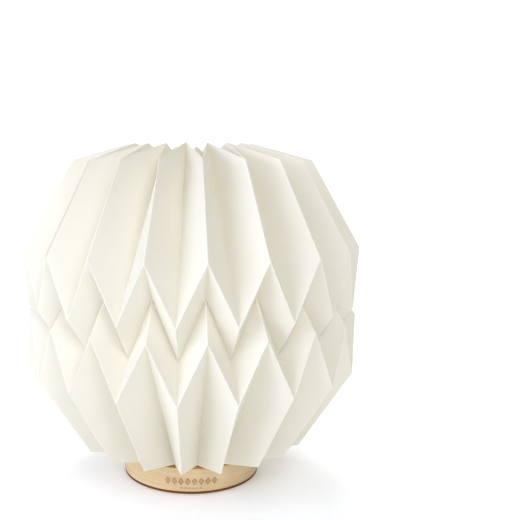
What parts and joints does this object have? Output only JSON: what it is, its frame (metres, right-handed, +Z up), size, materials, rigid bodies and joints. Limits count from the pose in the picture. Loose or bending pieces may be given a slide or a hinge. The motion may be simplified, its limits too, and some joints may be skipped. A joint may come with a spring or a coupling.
{
  "type": "paper lantern",
  "caption": "Round table lantern: a deeply pleated white paper shade on a low round wooden base, lifting off over a small rechargeable lamp with a push button.",
  "frame": {"origin": "middle of the plane that the four feet stand on, on the axis of the base and the shade", "axes": "+Z up along the axis of the base and the shade; -Y is the front, where the ornament is; +Y is the rear, with the charging socket and the button; +X is to the right seen from the front"},
  "size_m": [0.2866, 0.2866, 0.291],
  "materials": {
    "shade_paper": "matt, slightly translucent",
    "maple": "fine grain, satin lacquer",
    "burnt_plywood": "laser-cut edge, browned",
    "screw_steel": "zinc plated",
    "foot_felt": "felt",
    "white_plastic": "satin",
    "opal_plastic": "opal, translucent",
    "heat_sink_aluminium": "turned",
    "white_board": "white solder mask",
    "led_phosphor": "yellow phosphor",
    "white_wire": "silicone insulation",
    "cell_foil": "pouch foil",
    "foam_tape": "closed-cell foam",
    "red_wire": "silicone insulation",
    "green_board": "green solder mask",
    "black_plastic": "fine texture",
    "socket_steel": "bright nickel",
    "button_aluminium": "bead blasted"
  },
  "bodies": {
    "base": {"base_wall": "maple", "base_top_plate": "burnt_plywood", "base_bottom_plate": "burnt_plywood", "base_posts": "maple", "base_screws": "screw_steel", "feet": "foot_felt", "shade_locator": "maple", "locator_screws": "screw_steel", "diffuser_collar": "white_plastic", "diffuser": "opal_plastic", "heat_sink": "heat_sink_aluminium", "heat_sink_screws": "screw_steel", "led_board": "white_board", "led_chips": "led_phosphor", "led_leads": "white_wire", "battery_cell": "cell_foil", "battery_tape": "foam_tape", "battery_leads": "red_wire", "charge_board": "green_board", "board_components": "black_plastic", "wire_connectors": "white_plastic", "board_spacers": "black_plastic", "board_screws": "screw_steel", "usb_shell": "socket_steel", "usb_tongue": "black_plastic", "switch_body": "black_plastic", "rear_panel": "black_plastic"},
    "shade": {"front_half_shade": "shade_paper", "rear_half_shade": "shade_paper"},
    "button": {"button_cap": "button_aluminium", "switch_plunger": "white_plastic"}
  },
  "joints": [
    {"name": "shade_lift", "type": "slide", "parent": "base", "child": "shade", "axis": [0, 0, 1], "range_m": [0, 0.1]},
    {"name": "button_press", "type": "slide", "parent": "base", "child": "button", "axis": [0, -1, 0], "range_m": [0, 0.0012], "stiffness_N_per_m": 300}
  ]
}
